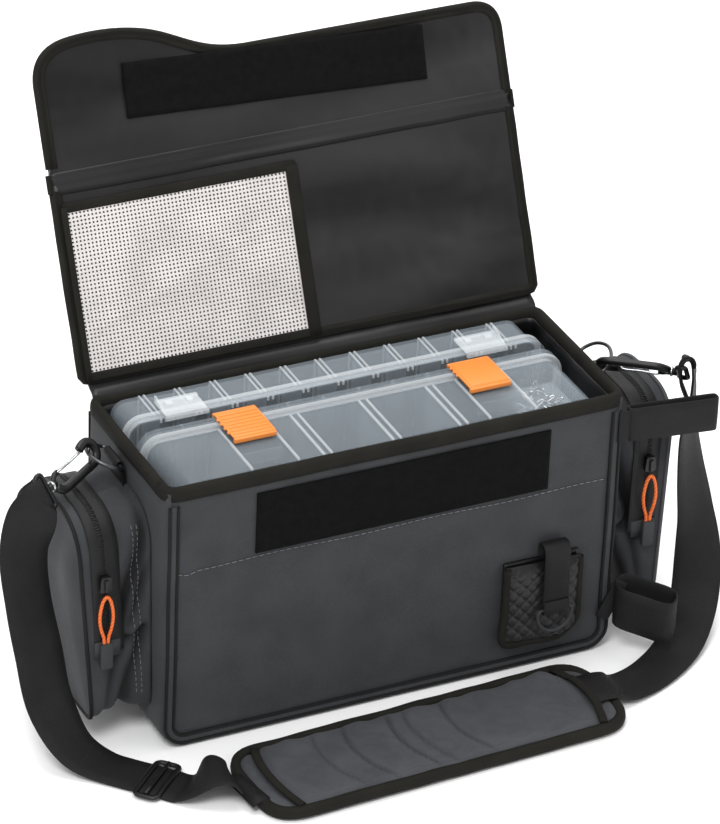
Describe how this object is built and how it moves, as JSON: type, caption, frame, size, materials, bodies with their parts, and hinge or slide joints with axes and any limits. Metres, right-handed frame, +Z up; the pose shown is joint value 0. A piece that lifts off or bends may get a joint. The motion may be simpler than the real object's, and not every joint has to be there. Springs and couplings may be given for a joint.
{
  "type": "soft tackle bag",
  "caption": "Soft shoulder tackle bag with padded walls, hook-and-loop lid, zipped side pockets, rod straps and clear tackle boxes standing inside.",
  "frame": {"origin": "centre of the bag's flat base, on the surface it stands on", "axes": "+Z up, +X to the bag's right as seen from its front, +Y to its back, where the lid is hinged"},
  "size_m": [0.5991, 0.3884, 0.4755],
  "materials": {
    "shell_fabric": "woven polyester, coated, padded",
    "lining_fabric": "shiny nylon lining",
    "binding_tape": "grosgrain binding tape",
    "hook_and_loop": "hook-and-loop tape",
    "zip_tape": "coil zip on woven tape",
    "webbing": "polyester webbing",
    "pvc_mesh": "open coated mesh",
    "clear_plastic": "clear moulded polypropylene",
    "latch_plastic": "moulded polypropylene",
    "pull_cord": "braided cord",
    "black_plastic": "moulded acetal",
    "steel_wire": "plated steel wire",
    "grey_plastic": "moulded rubbery plastic"
  },
  "bodies": {
    "bag": {"back_panel": "shell_fabric", "back_piping": "binding_tape", "base_panel": "shell_fabric", "front_loop_tape": "hook_and_loop", "front_panel": "shell_fabric", "front_piping_inner": "binding_tape", "front_piping_outer": "binding_tape", "inner_lining": "lining_fabric", "left_d_ring": "steel_wire", "left_pocket_face": "shell_fabric", "left_pocket_gusset": "shell_fabric", "left_pocket_piping": "binding_tape", "left_pocket_zip": "zip_tape", "left_ring_tab": "webbing", "left_side_panel": "shell_fabric", "left_snap_hook": "black_plastic", "lid_hinge_strip": "lining_fabric", "lower_rod_loop": "webbing", "pouch_strap": "webbing", "right_d_ring": "steel_wire", "right_pocket_face": "shell_fabric", "right_pocket_gusset": "shell_fabric", "right_pocket_piping": "binding_tape", "right_pocket_zip": "zip_tape", "right_ring_tab": "webbing", "right_side_panel": "shell_fabric", "right_snap_hook": "black_plastic", "rim_binding": "binding_tape", "shoulder_pad": "shell_fabric", "shoulder_pad_binding": "binding_tape", "strap_left": "webbing", "strap_right": "webbing", "tool_pouch": "lining_fabric", "upper_rod_strap": "webbing"},
    "lid": {"lid_panel": "lining_fabric", "lid_binding": "binding_tape", "mesh_pocket": "pvc_mesh", "mesh_pocket_binding": "binding_tape", "lid_crease_band": "lining_fabric"},
    "flap": {"flap_panel": "lining_fabric", "flap_binding": "binding_tape", "flap_hook_tape": "hook_and_loop"},
    "front_box": {"front_box_tub": "clear_plastic", "front_box_lid": "clear_plastic"},
    "rear_box": {"rear_box_tub": "clear_plastic", "rear_box_lid": "clear_plastic"},
    "front_box_left_latch_body": {"front_box_left_latch": "latch_plastic"},
    "front_box_right_latch_body": {"front_box_right_latch": "latch_plastic"},
    "rear_box_left_latch_body": {"rear_box_left_latch": "clear_plastic"},
    "rear_box_right_latch_body": {"rear_box_right_latch": "clear_plastic"},
    "left_slider": {"left_zip_slider": "black_plastic"},
    "right_slider": {"right_zip_slider": "black_plastic"},
    "left_pull": {"left_zip_cord": "pull_cord", "left_zip_tab": "grey_plastic"},
    "right_pull": {"right_zip_cord": "pull_cord", "right_zip_tab": "grey_plastic"},
    "left_gate": {"left_hook_gate": "steel_wire"},
    "right_gate": {"right_hook_gate": "steel_wire"},
    "adjuster": {"strap_adjuster": "black_plastic"},
    "pouch_ring_body": {"pouch_ring": "grey_plastic"}
  },
  "joints": [
    {"name": "lid_hinge", "type": "hinge", "parent": "bag", "child": "lid", "pos_m": [0, 0.065, 0.231], "axis": [-1, 0, 0], "range_deg": [-114.2, 35]},
    {"name": "flap_fold", "type": "hinge", "parent": "lid", "child": "flap", "pos_m": [0, 0.1413, 0.37541], "axis": [-1, 0, 0], "range_deg": [-97, 15]},
    {"name": "front_box_lift", "type": "slide", "parent": "bag", "child": "front_box", "axis": [0, 0, 1], "range_m": [0, 0.24]},
    {"name": "rear_box_lift", "type": "slide", "parent": "bag", "child": "rear_box", "axis": [0, 0, 1], "range_m": [0, 0.24]},
    {"name": "front_box_left_latch_hinge", "type": "hinge", "parent": "front_box", "child": "front_box_left_latch_body", "pos_m": [-0.098, 0.0111, 0.2294], "axis": [-1, 0, 0], "range_deg": [0, 80]},
    {"name": "front_box_right_latch_hinge", "type": "hinge", "parent": "front_box", "child": "front_box_right_latch_body", "pos_m": [0.098, 0.0111, 0.2294], "axis": [-1, 0, 0], "range_deg": [0, 80]},
    {"name": "rear_box_left_latch_hinge", "type": "hinge", "parent": "rear_box", "child": "rear_box_left_latch_body", "pos_m": [-0.132, 0.0189, 0.2294], "axis": [1, 0, 0], "range_deg": [0, 80]},
    {"name": "rear_box_right_latch_hinge", "type": "hinge", "parent": "rear_box", "child": "rear_box_right_latch_body", "pos_m": [0.119, 0.0189, 0.2294], "axis": [1, 0, 0], "range_deg": [0, 80]},
    {"name": "left_zip_slide", "type": "slide", "parent": "bag", "child": "left_slider", "axis": [-0.0428, 0.0499, 0.9978], "range_m": [-0.03, 0.008]},
    {"name": "left_pull_swing", "type": "hinge", "parent": "left_slider", "child": "left_pull", "pos_m": [-0.22845, -0.0558, 0.137], "axis": [-1, 0, 0], "range_deg": [0, 80]},
    {"name": "right_zip_slide", "type": "slide", "parent": "bag", "child": "right_slider", "axis": [0.0428, 0.0499, 0.9978], "range_m": [-0.03, 0.008]},
    {"name": "right_pull_swing", "type": "hinge", "parent": "right_slider", "child": "right_pull", "pos_m": [0.22845, -0.0558, 0.137], "axis": [-1, 0, 0], "range_deg": [0, 80]},
    {"name": "left_gate_hinge", "type": "hinge", "parent": "bag", "child": "left_gate", "pos_m": [-0.24887, -0.00706, 0.22142], "axis": [-0.4191, 0.7572, -0.5009], "range_deg": [0, 18], "stiffness_Nm_per_rad": 0.02, "springref_deg": -5.73},
    {"name": "right_gate_hinge", "type": "hinge", "parent": "bag", "child": "right_gate", "pos_m": [0.23847, -0.03768, 0.21722], "axis": [0.4287, 0.5778, 0.6946], "range_deg": [0, 18], "stiffness_Nm_per_rad": 0.02, "springref_deg": -5.73},
    {"name": "adjuster_slide", "type": "slide", "parent": "bag", "child": "adjuster", "axis": [0.6783, -0.7348, 0], "range_m": [-0.006, 0.001]},
    {"name": "pouch_ring_swing", "type": "hinge", "parent": "bag", "child": "pouch_ring_body", "pos_m": [0.133, -0.0883, 0.057], "axis": [-1, 0, 0], "range_deg": [0, 100]}
  ]
}
